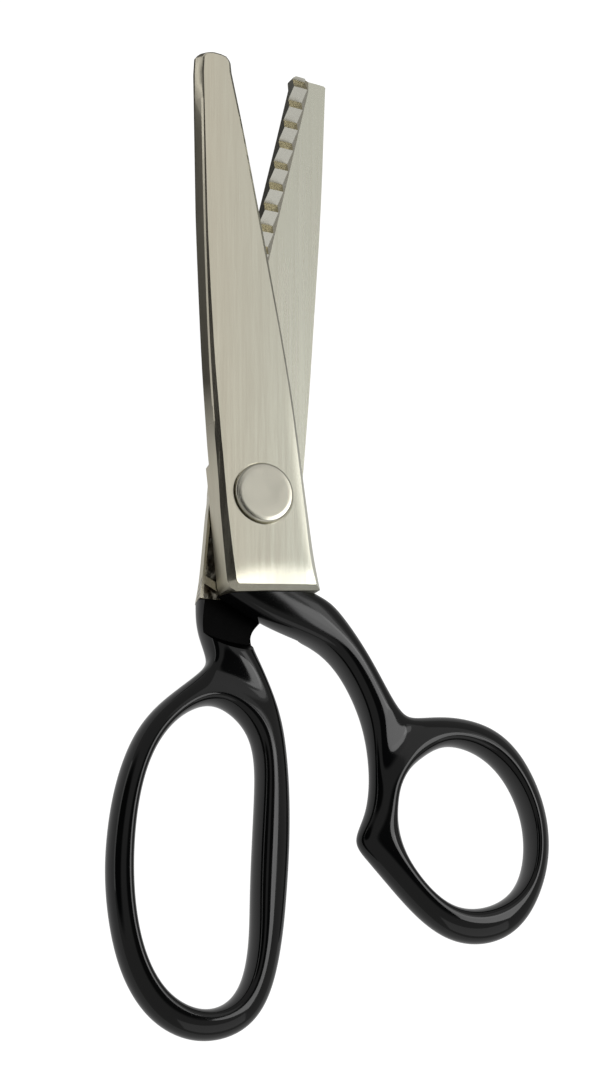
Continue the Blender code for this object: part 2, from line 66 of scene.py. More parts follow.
# Ring outlines, each station from the opening's edge to the outer edge. The first, the last and
# the last but one carry the shank.
FINGER_LOOP = [((-14.1, -49.2), (-10.4, -40.6)), ((-19.3, -53.6), (-20.8, -47.7)),
               ((-23.3, -60.0), (-27.1, -56.0)), ((-25.8, -68.1), (-30.9, -66.6)),
               ((-27.0, -77.0), (-32.6, -77.0)), ((-27.2, -86.5), (-33.0, -87.0)),
               ((-26.2, -96.1), (-31.7, -98.0)), ((-23.6, -104.7), (-28.4, -108.7)),
               ((-18.9, -111.4), (-21.9, -117.4)), ((-12.0, -114.5), (-12.2, -121.4)),
               ((-5.6, -113.0), (-2.0, -118.9)), ((-1.4, -107.7), (4.2, -111.2)),
               ((0.3, -99.0), (7.1, -99.5)), ((0.5, -89.0), (8.3, -89.0)),
               ((0.9, -78.0), (9.0, -78.0)), ((1.4, -67.0), (9.0, -67.0)),
               ((1.3, -58.8), (8.2, -57.5)), ((-1.0, -52.0), (5.9, -48.0)),
               ((-7.4, -47.4), (-2.8, -42.4))]
THUMB_RING = [((41.1, -55.8), (39.2, -47.7)), ((47.3, -52.3), (47.3, -45.8)),
              ((55.0, -53.3), (57.4, -47.2)), ((61.3, -57.6), (65.0, -52.9)),
              ((65.4, -64.0), (70.1, -62.4)), ((67.2, -71.0), (71.9, -71.5)),
              ((66.6, -78.8), (71.0, -80.4)), ((62.9, -84.9), (66.9, -89.8)),
              ((56.3, -88.5), (59.9, -95.6)), ((48.9, -88.8), (50.3, -96.7)),
              ((43.0, -85.6), (41.5, -92.4)), ((38.7, -80.9), (33.6, -84.9)),
              ((36.4, -76.7), (28.5, -79.6)), ((35.2, -72.4), (25.3, -75.3)),
              ((34.8, -68.1), (27.9, -69.2)), ((35.4, -63.4), (29.6, -61.4)),
              ((37.4, -59.3), (34.4, -54.0))]

# Shanks, each station as left edge, right edge, and how far it reaches above and below the
# mating plane. They run from the heel to the ring.
UPPER_SHANK = [((-8.2, -23.2), (14.2, -21.1), 7.2, 2.0), ((1.0, -28.2), (18.3, -22.6), 7.0, 2.0),
               ((9.6, -30.7), (22.2, -26.6), 6.4, 3.0), ((16.7, -32.8), (25.7, -30.9), 5.8, 4.2),
               ((21.8, -37.2), (29.2, -36.0), 5.2, 4.6), ((25.8, -44.0), (32.7, -41.8), 4.9, 4.7),
               ((28.3, -51.3), (35.6, -45.8), 4.7, 4.7)]
LOWER_SHANK = [((-11.6, -23.3), (5.8, -23.3), 1.5, 7.4), ((-11.8, -27.4), (3.2, -27.5), 2.0, 7.2),
               ((-11.3, -31.4), (-1.0, -31.0), 3.4, 6.4), ((-9.8, -36.2), (1.8, -36.9), 4.6, 5.2)]

# Section of a limb, as shares of its width and half height
RING_SHOULDER = 0.74       # where the top turns down
SHANK_SHOULDER = 0.85
HEEL_SHOULDER = 0.95
RING_CREST = 0.36          # where the top's ridge lies across the limb, from its left side
SHANK_CREST = 0.4
LEFT_RISE = 0.8            # height of the left shoulder
RING_RIGHT_RISE = 0.66     # height of the right shoulder
SHANK_RIGHT_RISE = 0.86
CROWN_RISE = 1.05          # the cage stands this much over the smooth surface
CURVE_SHARE = 6.0          # a smoothed curve leaves its control points by the bend over this
SECTION_POINTS = 8
ROUNDING_LEVEL = 4         # how often the handles' cages are subdivided

# Blade edges. The crest borders the outer face, and the shoulder is the facet along the upper
# blade's spine, between its leaning wall and its bevel.
CREST_ROUND = 0.16
CREST_SEGMENTS = 3
SHOULDER_ROUND = 0.3
SHOULDER_START = 14.0      # from this y
SHOULDER_END = 97.0        # to this y
SHOULDER_X = 9.0           # further out than this
OUTER_LEVEL = 3.2          # outer edges are further than this from the mating plane
OUTER_RADIUS = 7.5         # and further than this from the pivot
ROUND_ABOVE = 14.0         # degrees over which an edge is rounded
SMOOTH_BELOW = 22.0        # degrees under which faces shade as one surface
FLATTEN_BELOW = 0.4        # degrees under which the frame's facets are joined
LEVEL_NORMAL = 0.97        # z of a level face's normal, at least
SLOPE_NORMAL = 0.5         # and of a leaning one's
UPRIGHT_NORMAL = 0.45      # and of an upright one's, at most

# Degrees over which an edge shades sharp
HANDLE_SHARP = 35.0
TURNED_SHARP = 25.0

# Which finish a blade's faces have
PLATED, GROUND, FORGED, WALL = range(4)
TOOTH_REACH = 1.7          # the teeth stay this close to the mating plane
TOOTH_START_Y = 10.0
TOOTH_START_RADIUS = 16.0
WALL_RADIUS = 9.0

# As-forged pockets beside the lower blade's heel
POCKET_DEPTH = 1.8
POCKET_RIGHT = -3.9        # they lie left of this x
POCKET_SPAN = ((-12.0, -4.0), (-26.0, -1.0))     # where they lie in x and in y
POCKET_CELL = 0.55         # size of the grid that carries the lumps
POCKET_LUMPS = ((0.9, 0.55), (0.35, 1.7))        # height of the lumps, and how close they come
POCKET_LEVELS = (0.4, 2.6)                       # how far below the mating plane they are rough
POCKET_FRONT = -1.0
POCKET_NORMAL = 0.99       # z of a floor's normal, at least
POCKET_SLACK = 0.03        # and how far from its height it may lie
CUT_SLACK = 0.0001         # points closer than this to a cut lie on it

# Screw and nut
ROUND_STEPS = 128
HEAD_DIP = ((0.0, 0.05), (2.0, 0.02))   # radius, and how far the head's middle dips there
HEAD_FLAT = 1.5            # the flat top ends this far inside the head
RIM_WIDTH = 0.75
RIM_DROP = 0.7
RIM_STEPS = 9
HEAD_CHAMFER = 0.15
SCREW_RADIUS = 3.0
THREAD_TOP = 2.9
THREAD_PITCH = 0.4
THREAD_TURNS = 7
THREAD_DEPTH = 0.22
END_CHAMFER = 0.4
CENTRE_RADIUS = 0.7        # the turning centre in the screw's end
CENTRE_DEPTH = 0.6
NUT_BORE = 3.35
NUT_COUNTERSINK = 0.4
NUT_CORNER_DROP = 0.62     # how far the nut's corners are turned off
NUT_SINK_DEPTH = 0.3
NUT_FACE_IN = 0.2          # how far the round face lies inside the nut's flats
CUT_PAST = 0.1             # how far a cutter stands out of the nut
CUTTER_SKIN = 0.01         # and the one that leaves its faces alone

# Crown of the upper blade's face: how it falls away to the heel and to the right edge
CROWN_Y = -13.4            # it starts behind this y
CROWN_LEFT = 5.0           # and left of this x it starts later
CROWN_ROUND = 20.0         # by this, in 1/m, times the square of the distance
HEEL_CURVE = 5.5           # half its curvature towards the heel, in 1/m
CROWN_X = 7.4              # right of this x at the pivot it falls away to the right
CROWN_SLOPE = 0.14         # and this much nearer for each millimetre of y
RIGHT_CURVE = 22.0         # half its curvature towards the right, in 1/m
RIGHT_END = (4.0, 30.0)    # the right fall fades out between these y

# Colours of the bare metal
NICKEL = (0.67, 0.65, 0.54)
TURNED_NICKEL = (0.60, 0.58, 0.49)
PAINTED_TINT_X = (-14.0, 12.0)     # painted reflection: the plate's tint turns from warm to cool between these x
HEEL_FADE = (8.0, 30.0)    # a rougher heel fades out between these y
LENGTHWISE = (3200.0, 40.0, 3200.0)    # brush strokes along y, in grains to the metre
ACROSS = (1.0, 0.0, 0.0)
UPRIGHT = (0.0, 0.0, 1.0)

# Camera
TARGET = Vector((16.087, -5.959, 0.0)) * MM
TILT_LEFT = math.radians(21.0)
TILT_BACK = math.radians(15.0)
DISTANCE = 0.8             # metres
CLIP = (0.05, 20.0)        # metres
LENS = 115.27
SENSOR = 36.0

# Studio: zones of the sky as direction, inner and outer angle, and the light left there
WORLD_LEVEL = 0.36
DARK_ZONES = [((0.05, 0.0, 1.0), 14.0, 26.0, 0.05), ((-0.9, 0.26, 0.42), 15.0, 25.0, 0.03)]

# Lights: place, the point they face, width and height, and brightness as seen in a mirror
LIGHTS = {
    "key": ((485.0, -66.0, 720.0), (20.0, -40.0, 10.0), 500.0, 400.0, 3.0),
    "overhead": ((330.0, 395.0, 725.0), (0.0, 60.0, 10.0), 700.0, 510.0, 0.39),
    "side": ((540.0, 250.0, 705.0), (0.0, 0.0, 10.0), 240.0, 200.0, 1.3),
    "front": ((330.0, -700.0, 420.0), (0.0, 60.0, 10.0), 900.0, 460.0, 0.5),
    "left_low": ((-1100.0, 300.0, 50.0), (0.0, 0.0, 10.0), 700.0, 240.0, 0.9),
}

# Floor, and the painted shadow strips beside the blades where the metal sees it dark
FLOOR_HALF_SIZE = 2500.0
FLOOR_SINK = 0.05
FLOOR_GLOW = 0.52
STRIP_MIDDLE = -2.0        # x of the strips' middle line
STRIP_SPREAD = 0.4         # they widen by this for each millimetre of y
STRIP_EDGE = (23.0, 38.0)  # they fade out between these distances
STRIP_START = (8.0, 30.0)  # they fade in between these y
STRIP_END = (140.0, 170.0)
STRIP_SHADE = 0.04         # share of the glow left there


class Shader:
    """A material's nodes, with short calls to add and join them."""

    def __init__(self, name):
        self.material = bpy.data.materials.new(name)
        self.material.use_nodes = True
        self.tree = self.material.node_tree
        self.surface = self.tree.nodes["Principled BSDF"]
        coordinates = self.tree.nodes.new("ShaderNodeTexCoord")
        self.place = coordinates.outputs["Object"]

    def add(self, kind, settings=None, **inputs):
        """A new node with its settings, and its inputs as numbers or links."""
        node = self.tree.nodes.new("ShaderNode" + kind)
        for key, value in (settings or {}).items():
            setattr(node, key, value)
        for key, value in inputs.items():
            self.set(node, key.replace("_", " "), value)
        return node

    def set(self, node, key, value):
        if isinstance(value, bpy.types.NodeSocket):
            self.tree.links.new(value, node.inputs[key])
        else:
            node.inputs[key].default_value = value

    def finish(self, **inputs):
        """Join what has been made to the surface, and give the material back."""
        for key, value in inputs.items():
            self.set(self.surface, key.replace("_", " "), value)
        return self.material

    def axes(self):
        """X, y and z of the place in the object, in metres."""
        return self.add("SeparateXYZ", Vector=self.place).outputs

    def grain(self, scale, detail=3.0, turn=(0.0, 0.0, 0.0)):
        """Noise stretched along one way, from the object's own coordinates."""
        mapping = self.add("Mapping", Vector=self.place, Scale=scale, Rotation=turn)
        texture = self.add("TexNoise", Vector=mapping.outputs[0], Scale=1.0, Detail=detail)
        return texture.outputs["Fac"]

    def ramp(self, value, stops):
        """A colour from a value, through stops of position and colour."""
        node = self.add("ValToRGB", Fac=value)
        elements = node.color_ramp.elements
        while len(elements) < len(stops):
            elements.new(0.5)
        for element, (position, colour) in zip(elements, stops):
            element.position = position
            element.color = (*colour, 1.0)
        return node.outputs["Color"]

    def remap(self, value, low, high, to_low, to_high):
        """A value between low and high, moved to between to_low and to_high."""
        node = self.add("MapRange", Value=value)
        for key, number in zip(("From Min", "From Max", "To Min", "To Max"),
                               (low, high, to_low, to_high)):
            node.inputs[key].default_value = number
        return node.outputs["Result"]

    def maths(self, operation, first, second=0.0):
        node = self.add("Math", {"operation": operation})
        self.set(node, 0, first)
        self.set(node, 1, second)
        return node.outputs[0]

    def above(self, value, limit):
        """How far a value is above a limit, or nothing below it."""
        return self.maths("MAXIMUM", self.maths("SUBTRACT", value, limit), 0.0)

    def bump(self, height, distance, strength=1.0, normal=None):
        node = self.add("Bump", Height=height, Distance=distance, Strength=strength)
        if normal is not None:
            self.set(node, "Normal", normal)
        return node.outputs[0]

    def turned(self, direction):
        """A direction of the object itself, for a brushed finish to follow as it turns."""
        vector = self.add("CombineXYZ", X=direction[0], Y=direction[1], Z=direction[2])
        turn = self.add("VectorTransform", {"vector_type": "VECTOR", "convert_from": "OBJECT",
                                            "convert_to": "WORLD"}, Vector=vector.outputs[0])
        return turn.outputs[0]


def crowned(shader):
    """The plated face falls away gently towards the heel and the right edge."""
    x, y, _ = shader.axes()
    left = shader.maths("MAXIMUM", shader.maths("SUBTRACT", CROWN_LEFT * MM, x), 0.0)
    later = shader.maths("MULTIPLY", shader.maths("POWER", left, 2.0), CROWN_ROUND)
    behind = shader.maths("SUBTRACT", CROWN_Y * MM, shader.maths("ADD", y, later))
    behind = shader.maths("MAXIMUM", behind, 0.0)
    beyond = shader.maths("ADD", x, shader.maths("MULTIPLY", y, CROWN_SLOPE))
    beyond = shader.above(beyond, CROWN_X * MM)
    near = shader.remap(y, RIGHT_END[0] * MM, RIGHT_END[1] * MM, 1.0, 0.0)
    heel_fall = shader.maths("MULTIPLY", shader.maths("POWER", behind, 2.0), -HEEL_CURVE)
    right_fall = shader.maths("MULTIPLY", shader.maths("POWER", beyond, 2.0), -RIGHT_CURVE)
    height = shader.maths("ADD", heel_fall, shader.maths("MULTIPLY", right_fall, near))
    return shader.bump(height, 1.0)


def brushed_tint(shader, colour, strokes):
    """Nickel with a painted reflection tint, a little warmer on the left, streaked by its brush
    strokes.
    """
    red, green, blue = colour
    # painted reflection: the tint shifts from warm on the left to cool on the right, by x alone
    painted_warmth = shader.remap(shader.axes()[0], PAINTED_TINT_X[0] * MM, PAINTED_TINT_X[1] * MM, 0.0, 1.0)
    painted_and_random_tone = shader.maths("ADD", shader.maths("MULTIPLY", painted_warmth, 0.6),
                        shader.maths("MULTIPLY", strokes, 0.4))
    tint = shader.ramp(painted_and_random_tone, [(0.15, (red * 1.03, green * 0.985, blue * 0.95)),
                              (0.8, (red * 0.985, green * 1.01, blue * 1.03))])
    streak = shader.add("VectorMath", {"operation": "SCALE"})
    shader.set(streak, 0, tint)
    shader.set(streak, "Scale", shader.remap(strokes, 0.35, 0.65, 0.93, 1.03))
    return streak.outputs[0]


def brushed_roughness(shader, roughness, heel_roughness, strokes, scratch):
    """Uneven by strokes, smears and scratches, and at least heel_roughness behind the pivot."""
    smear = shader.grain((70.0, 40.0, 70.0), 4.0)
    rough = shader.maths("ADD", shader.remap(strokes, 0.3, 0.7, roughness * 0.85, roughness * 1.15),
                         shader.remap(smear, 0.35, 0.75, -0.02, 0.04))
    rough = shader.maths("ADD", rough, shader.maths("MULTIPLY", scratch, 0.05))
    y = shader.axes()[1]
    at_heel = shader.remap(y, HEEL_FADE[0] * MM, HEEL_FADE[1] * MM, heel_roughness, 0.0)
    return shader.maths("MAXIMUM", rough, at_heel)


def brushed_nickel(name, roughness, tangent, stretch=0.6, crown=False, heel_roughness=0.0):
    """Nickel plate over a brushed surface: fine grain one way, faint smears and tiny scratches."""
    shader = Shader(name)
    fine = shader.grain(LENGTHWISE)
    coarse = shader.grain(tuple(size * 0.22 for size in LENGTHWISE), 2.0)
    strokes = shader.maths("MULTIPLY", shader.maths("ADD", fine, coarse), 0.5)
    scratch = shader.grain((1500.0, 26.0, 1500.0), 1.0, (0.0, 0.0, 0.5))
    scratch = shader.remap(scratch, 0.72, 0.76, 0.0, 1.0)
    height = shader.maths("SUBTRACT", strokes, shader.maths("MULTIPLY", scratch, 0.15))
    shape = crowned(shader) if crown else None
    return shader.finish(
        Base_Color=brushed_tint(shader, NICKEL, strokes), Metallic=1.0,
        Roughness=brushed_roughness(shader, roughness, heel_roughness, strokes, scratch),
        Anisotropic=stretch, Tangent=shader.turned(tangent),
        Normal=shader.bump(height, 0.000003, 0.4, shape))


def ground_steel():
    """The teeth: freshly ground, with painted shade: the flanks that look to the tips are tinted
    darker and tan.
    """
    shader = Shader("ground_steel")
    facing = shader.add("TexCoord").outputs["Normal"]
    painted_shade_facing = shader.add("SeparateXYZ", Vector=facing).outputs[1]
    grind = shader.grain((2500.0, 2500.0, 12000.0), 2.0)
    stain = shader.grain((700.0, 700.0, 700.0), 3.0)
    # painted shade: the tint follows which way a flank faces, darker and tan on the flanks facing the
    # tips; the stain adds random tone
    painted_and_random_tone = shader.maths("ADD", shader.remap(painted_shade_facing, -0.2, 0.2, 0.0, 1.0),
                        shader.remap(stain, 0.3, 0.7, -0.1, 0.1))
    tint = shader.ramp(painted_and_random_tone, [(0.1, (0.61, 0.60, 0.535)), (0.3, (0.56, 0.53, 0.44)),
                              (0.8, (0.50, 0.44, 0.27))])
    return shader.finish(Base_Color=tint, Metallic=1.0,
                         Roughness=shader.remap(grind, 0.3, 0.7, 0.2, 0.32),
                         Normal=shader.bump(grind, 0.000004, 0.5))


def turned_nickel(name, colour, roughness):
    """Nickel turned on a lathe: rings round the pivot axis."""
    shader = Shader(name)
    x, y, z = shader.axes()
    square = shader.maths("ADD", shader.maths("POWER", x, 2.0), shader.maths("POWER", y, 2.0))
    radius = shader.maths("POWER", square, 0.5)
    rings = shader.add("CombineXYZ", X=shader.maths("MULTIPLY", radius, 9000.0),
                       Z=shader.maths("MULTIPLY", z, 5000.0))
    ring = shader.add("TexNoise", Vector=rings.outputs[0], Scale=1.0, Detail=3.0).outputs["Fac"]
    smear = shader.grain((220.0, 160.0, 220.0), 3.0)
    tint = shader.ramp(ring, [(0.3, tuple(part * 0.9 for part in colour)), (0.7, colour)])
    rough = shader.maths("ADD", shader.remap(ring, 0.3, 0.7, roughness * 0.8, roughness * 1.2),
                         shader.remap(smear, 0.35, 0.75, -0.03, 0.07))
    return shader.finish(Base_Color=tint, Metallic=1.0, Roughness=rough,
                         Normal=shader.bump(ring, 0.00001, 0.4))


def black_lacquer():
    """Thick baked lacquer: a soft ripple, settled dust and a few rubbed places."""
    shader = Shader("black_lacquer")
    ripple = shader.grain((130.0, 130.0, 130.0), 1.0)
    dust = shader.grain((5200.0, 5200.0, 5200.0), 1.0)
    rub = shader.grain((55.0, 55.0, 55.0), 4.0)
    speck = shader.remap(dust, 0.74, 0.78, 0.0, 1.0)
    tint = shader.ramp(rub, [(0.35, (0.0022, 0.0024, 0.0027)), (0.75, (0.0042, 0.0043, 0.0042))])
    rough = shader.maths("ADD", shader.remap(rub, 0.45, 0.8, 0.07, 0.16),
                         shader.maths("MULTIPLY", speck, 0.2))
    height = shader.maths("ADD", ripple, shader.maths("MULTIPLY", speck, 0.12))
    return shader.finish(Base_Color=tint, Roughness=rough, IOR=1.44,
                         Normal=shader.bump(height, 0.00006, 0.25))


def shaded_lacquer():
    """The same lacquer as painted shade on the cut steps: darker and almost without reflection, with
    a faint dusty mottle.
    """
    shader = Shader("shaded_lacquer")
    orange_peel = shader.grain((1400.0, 1400.0, 1400.0), 3.0)
    dust = shader.grain((300.0, 300.0, 300.0), 4.0)
    # painted shade: a darker tint and a low specular level stand in for the shade on the cut steps
    tint = shader.ramp(dust, [(0.35, (0.0004, 0.0004, 0.0004)), (0.75, (0.0009, 0.0009, 0.0008))])
    return shader.finish(Base_Color=tint, Specular_IOR_Level=0.04,
                         Roughness=shader.remap(dust, 0.3, 0.7, 0.35, 0.5),
                         Normal=shader.bump(orange_peel, 0.00002, 0.5))


def forged_nickel():
    """Nickel plate over rough forging: pits and dark scale in the hollows."""
    shader = Shader("forged_nickel")
    lumps = shader.grain((900.0, 900.0, 900.0), 5.0)
    stain = shader.grain((320.0, 320.0, 320.0), 3.0)
    tint = shader.ramp(stain, [(0.35, (0.10, 0.075, 0.045)), (0.5, (0.36, 0.33, 0.26)),
                               (0.7, (0.62, 0.6, 0.52))])
    return shader.finish(Base_Color=tint, Metallic=1.0,
                         Roughness=shader.remap(lumps, 0.3, 0.7, 0.25, 0.5),
                         Normal=shader.bump(lumps, 0.00025, 0.8))


def bearing_bronze():
    """Bronze with a fine grain and patches of tarnish."""
    shader = Shader("bearing_bronze")
    rings = shader.grain((2600.0, 2600.0, 2600.0), 3.0)
    tarnish = shader.grain((420.0, 420.0, 420.0), 4.0)
    tint = shader.ramp(tarnish, [(0.35, (0.36, 0.22, 0.08)), (0.7, (0.66, 0.45, 0.19))])
    return shader.finish(Base_Color=tint, Metallic=1.0,
                         Roughness=shader.remap(rings, 0.3, 0.7, 0.26, 0.45),
                         Normal=shader.bump(rings, 0.00001, 0.4))


def new_object(name, bm, materials=(), scale=MM):
    """Turn a bmesh into an object in metres. It is in millimetres unless scale says otherwise."""
    bmesh.ops.recalc_face_normals(bm, faces=bm.faces)
    bmesh.ops.scale(bm, vec=(scale, scale, scale), verts=bm.verts)
    mesh = bpy.data.meshes.new(name)
    bm.to_mesh(mesh)
    bm.free()
    for material in materials:
        mesh.materials.append(material)
    obj = bpy.data.objects.new(name, mesh)
    bpy.context.scene.collection.objects.link(obj)
    return obj


def frame_mesh(node):
    """A copy of a CAD node's mesh, in metres, with its doubled points joined."""
    bm = bmesh.new()
    bm.from_mesh(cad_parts[node].data)
    bmesh.ops.remove_doubles(bm, verts=bm.verts, dist=MERGE * MM)
    return bm


def bake(obj):
    """Apply the object's modifiers to its own mesh."""
    bpy.context.view_layer.update()
    evaluated = obj.evaluated_get(bpy.context.evaluated_depsgraph_get())
    mesh = bpy.data.meshes.new_from_object(evaluated)
    mesh.name = obj.name
    obj.modifiers.clear()
    obj.data = mesh
    return obj


def cut(obj, cutters):
    """Combine an object with pairs of cutter and boolean operation, and remove the cutters."""
    for cutter, operation in cutters:
        modifier = obj.modifiers.new(cutter.name, "BOOLEAN")
        modifier.object = cutter
        modifier.operation = operation
    bake(obj)
    for cutter, _ in cutters:
        bpy.data.objects.remove(cutter)


def smooth(obj, angle):
    """Shade a piece smooth, apart from edges that turn by more than an angle in degrees."""
    obj.data.shade_smooth()
    obj.data.set_sharp_from_angle(angle=math.radians(angle))


def wear(obj, node, body):
    """Hang a piece on its body in place of a CAD node."""
    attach(obj, body)
    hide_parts(node)


def ring_limits(points):
    """Control points whose smooth closed curve passes near the given points."""
    count = len(points)
    moved = []
    for i, point in enumerate(points):
        here = Vector(point)
        bend = Vector(points[i - 1]) - 2.0 * here + Vector(points[(i + 1) % count])
        moved.append(here - bend / CURVE_SHARE)
    return moved


def section(left, right, above, below, shoulder, crest, right_rise):
    """Eight points round a limb, from its left side over the top to the right and back below."""
    middle = (left + right) / 2.0
    swell = CURVE_SHARE / (CURVE_SHARE - 2.0 + 2.0 * shoulder)
    left = middle + (left - middle) * swell
    right = middle + (right - middle) * swell
    left_in = middle + (left - middle) * shoulder
    right_in = middle + (right - middle) * shoulder
    ridge = left + (right - left) * crest
    centre_z = MATING_Z + (above - below) / 2.0
    half = (above + below) / 2.0 * CROWN_RISE
    left_up, right_up = LEFT_RISE * half, right_rise * half
    return [(*left, centre_z), (*left_in, centre_z + left_up), (*ridge, centre_z + half),
            (*right_in, centre_z + right_up), (*right, centre_z),
            (*right_in, centre_z - right_up), (*ridge, centre_z - half),
            (*left_in, centre_z - left_up)]


def ring_sections(stations):
    inner = ring_limits([station[0] for station in stations])
    outer = ring_limits([station[1] for station in stations])
    return [section(a, b, LIMB_HALF_HEIGHT, LIMB_HALF_HEIGHT, RING_SHOULDER, RING_CREST,
                    RING_RIGHT_RISE)
            for a, b in zip(inner, outer)]


def shank_sections(stations):
    sections = []
    for index, (left, right, above, below) in enumerate(stations):
        shoulder = SHANK_SHOULDER if index else HEEL_SHOULDER
        sections.append(section(Vector(left), Vector(right), above, below, shoulder, SHANK_CREST,
                                SHANK_RIGHT_RISE))
    return sections


def skin(bm, here, there, left_open=()):
    """Faces between two sections, apart from the ones left open."""
    for j in range(SECTION_POINTS):
        if j not in left_open:
            k = (j + 1) % SECTION_POINTS
            bm.faces.new((here[j], here[k], there[k], there[j]))


def add_ring(bm, ring):
    """Skin the ring, open at its last two stretches, and give back its rows of points."""
    rows = [[bm.verts.new(point) for point in points] for points in ring_sections(ring)]
    count = len(rows)
    for i in range(count):
        at_mouth = i >= count - 2
        skin(bm, rows[i], rows[(i + 1) % count], (3, 4) if at_mouth else ())
    bm.verts.remove(rows[-1][4])
    return rows


def ring_mouth(rows, shank_left):
    """The eight points of the ring's opening, in the order of a shank's section."""
    ends = (rows[0], rows[-2])
    left_row = ends[shank_left]
    right_row = ends[1 - shank_left]
    middle_row = rows[-1]
    return [left_row[4], left_row[3], middle_row[3], right_row[3],
            right_row[4], right_row[5], middle_row[5], left_row[5]]


def handle_cage(name, ring, shank, shank_left, materials):
    """A ring with a shank growing out of its outer side, as one cage under a smooth surface.

    The ring opens towards the shank between its last but one station and its first.
    shank_left is 0 where the first of them meets the shank's left side, and 1 where the other does.
    """
    bm = bmesh.new()
    root = ring_mouth(add_ring(bm, ring), shank_left)
    stations = [[bm.verts.new(point) for point in points] for points in shank_sections(shank)]
    chain = stations + [root]
    for here, there in zip(chain, chain[1:]):
        skin(bm, here, there)
    heel = bm.faces.new(stations[0])
    crease = bm.edges.layers.float.new("crease_edge")
    for edge in heel.edges:
        edge[crease] = 1.0
    obj = new_object(name, bm, materials)
    subdivision = obj.modifiers.new("round", "SUBSURF")
    subdivision.levels = ROUNDING_LEVEL
    subdivision.render_levels = ROUNDING_LEVEL
    return obj


def step_cutter(side, materials):
    """The ramp that keeps a handle on its own side of the mating plane close to the pivot.

    side is +1 for the upper half and -1 for the lower. The cut faces take the last material.
    """
    near = MATING_Z + side * BODY_GAP
    far = MATING_Z - side * STEP_REACH
    wide = STEP_RADIUS + STEP_SLOPE * STEP_REACH
    low, high = sorted((near, far))
    radius_low, radius_high = (wide, STEP_RADIUS) if side > 0 else (STEP_RADIUS, wide)
    bm = bmesh.new()
    bmesh.ops.create_cone(bm, cap_ends=True, segments=STEP_SEGMENTS, radius1=radius_low,
                          radius2=radius_high, depth=high - low)
    bmesh.ops.translate(bm, vec=(0.0, 0.0, (low + high) / 2.0), verts=bm.verts)
    for face in bm.faces:
        face.material_index = len(materials) - 1
    return new_object("step_cutter", bm, materials)


def make_handle(name, ring, shank, shank_left, side, materials):
    handle = handle_cage(name, ring, shank, shank_left, materials)
    cut(handle, [(step_cutter(side, materials), "DIFFERENCE")])
    return handle


def pocket_floors(bm):
    """The level faces at the bottom of the lower blade's pockets."""
    height = MATING_Z - BODY_GAP - POCKET_DEPTH
    floors = []
    for face in bm.faces:
        centre = face.calc_center_median() / MM
        level = face.normal.z > POCKET_NORMAL and abs(centre.z - height) < POCKET_SLACK
        if level and centre.x < POCKET_RIGHT:
            floors.append(face)
    return floors


def roughen_pockets(bm):
    """Cut the pockets' floors into a fine grid and give them the lumps of a forging."""
    for axis, (start, end) in enumerate(POCKET_SPAN):
        normal = Vector((1.0 - axis, axis, 0.0))
        for step in range(int((end - start) / POCKET_CELL)):
            faces = pocket_floors(bm)
            edges = {edge for face in faces for edge in face.edges}
            verts = {vert for face in faces for vert in face.verts}
            place = normal * (start + (step + 0.5) * POCKET_CELL) * MM
            bmesh.ops.bisect_plane(bm, geom=list(verts) + list(edges) + faces,
                                   dist=CUT_SLACK * MM, plane_co=place, plane_no=normal)
    floor = set(pocket_floors(bm))
    inner = {vert for face in floor for vert in face.verts if floor.issuperset(vert.link_faces)}
    for vert in inner:
        place = vert.co / MM
        vert.co.z += MM * sum(height * noise.noise(place * rate) for height, rate in POCKET_LUMPS)


def on_shoulder(edge):
    """Whether an edge lies along the upper spine, between its leaning wall and its bevel."""
    for face in edge.link_faces:
        if abs(face.normal.z) > LEVEL_NORMAL:
            return False
    painted_shade_facing = min(vert.co.y for vert in edge.verts) > SHOULDER_START * MM
    behind_tip = max(vert.co.y for vert in edge.verts) < SHOULDER_END * MM
    return painted_shade_facing and behind_tip and max(vert.co.x for vert in edge.verts) < -SHOULDER_X * MM


def is_outer(edge, side):
    """Whether an edge turns, clear of the mating plane and of the pivot."""
    heights = [side * (vert.co.z / MM - MATING_Z) for vert in edge.verts]
    radii = [vert.co.xy.length / MM for vert in edge.verts]
    if min(heights) <= OUTER_LEVEL or min(radii) <= OUTER_RADIUS or not edge.is_manifold:
        return False
    return edge.calc_face_angle() > math.radians(ROUND_ABOVE)


def round_edges(bm, side, width, segments, shoulder):
    """Round the edges about a blade's outer face, or cut a facet along its shoulder."""
    edges = [edge for edge in bm.edges if is_outer(edge, side) and on_shoulder(edge) == shoulder]
    made = bmesh.ops.bevel(bm, geom=edges, offset=width * MM, segments=segments, profile=0.5,
                           affect="EDGES", clamp_overlap=not shoulder)
    return made["faces"]


def mark_edges(bm, facets):
    """Shade faces smooth up to the edges where they turn, and keep the facets apart."""
    for face in bm.faces:
        face.smooth = True
    for edge in bm.edges:
        edge.smooth = edge.is_manifold and edge.calc_face_angle() < math.radians(SMOOTH_BELOW)
    for face in facets:
        for edge in face.edges:
            edge.smooth = False


def blade_zone(face, side):
    """Which finish a face of a blade has."""
    centre = face.calc_center_median() / MM
    level = side * (centre.z - MATING_Z)
    lift = abs(face.normal.z)
    radius = centre.xy.length
    toothed = abs(level) < TOOTH_REACH and centre.y > TOOTH_START_Y and radius > TOOTH_START_RADIUS
    if toothed and SLOPE_NORMAL < lift < LEVEL_NORMAL:
        return GROUND
    forged = POCKET_LEVELS[0] < level < POCKET_LEVELS[1]
    if forged and side < 0.0 and centre.y < POCKET_FRONT and centre.x < POCKET_RIGHT:
        return FORGED
    return WALL if lift < UPRIGHT_NORMAL and radius > WALL_RADIUS else PLATED


def weigh_normals(obj):
    """Let the wide faces keep flat, so that only the narrow ones between them turn."""
    weighted = obj.modifiers.new("flats", "WEIGHTED_NORMAL")
    weighted.mode = "FACE_AREA"
    weighted.weight = 100
    weighted.keep_sharp = True


